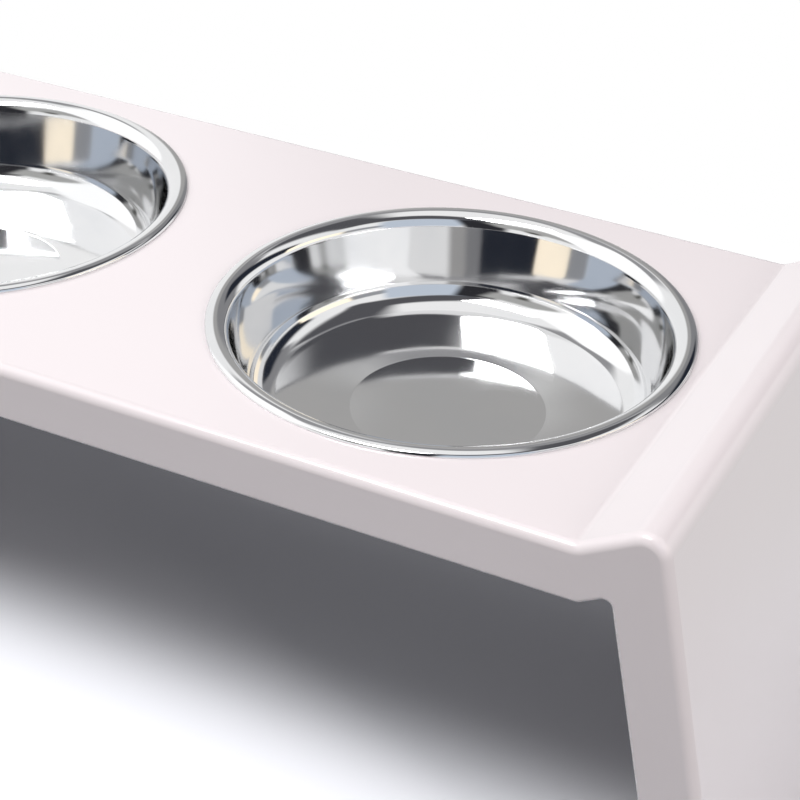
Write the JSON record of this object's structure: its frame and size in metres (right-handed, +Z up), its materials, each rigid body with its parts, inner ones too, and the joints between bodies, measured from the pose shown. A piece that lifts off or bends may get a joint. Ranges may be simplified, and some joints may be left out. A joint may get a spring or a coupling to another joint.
{
  "type": "elevated pet feeder",
  "caption": "Low bent-board stand with upturned ends and splayed legs that carries round steel bowls, which drop into cut-outs in its top and lift out.",
  "frame": {"origin": "on the floor, under the middle of the stand", "axes": "+X along the stand, to the right seen from the front; +Y to the back; +Z up"},
  "size_m": [0.4912, 0.195, 0.1602],
  "materials": {
    "lacquered_board": "gloss lacquer, pale pink-white",
    "polished_steel": "mirror-polished stainless steel",
    "beech_dowel": "bare beech",
    "foot_rubber": "matt rubber",
    "zinc_screw": "bright zinc"
  },
  "bodies": {
    "stand": {"top_panel": "lacquered_board", "left_corner_rail": "lacquered_board", "right_corner_rail": "lacquered_board", "left_leg_panel": "lacquered_board", "right_leg_panel": "lacquered_board", "left_top_dowels": "beech_dowel", "right_top_dowels": "beech_dowel", "left_leg_dowels": "beech_dowel", "right_leg_dowels": "beech_dowel", "front_left_foot": "foot_rubber", "front_right_foot": "foot_rubber", "back_left_foot": "foot_rubber", "back_right_foot": "foot_rubber", "front_left_foot_screw": "zinc_screw", "front_right_foot_screw": "zinc_screw", "back_left_foot_screw": "zinc_screw", "back_right_foot_screw": "zinc_screw"},
    "left_bowl": {"left_bowl": "polished_steel"},
    "right_bowl": {"right_bowl": "polished_steel"}
  },
  "joints": [
    {"name": "left_bowl_lift", "type": "slide", "parent": "stand", "child": "left_bowl", "axis": [0, 0, 1], "range_m": [0, 0.08]},
    {"name": "right_bowl_lift", "type": "slide", "parent": "stand", "child": "right_bowl", "axis": [0, 0, 1], "range_m": [0, 0.08]}
  ]
}
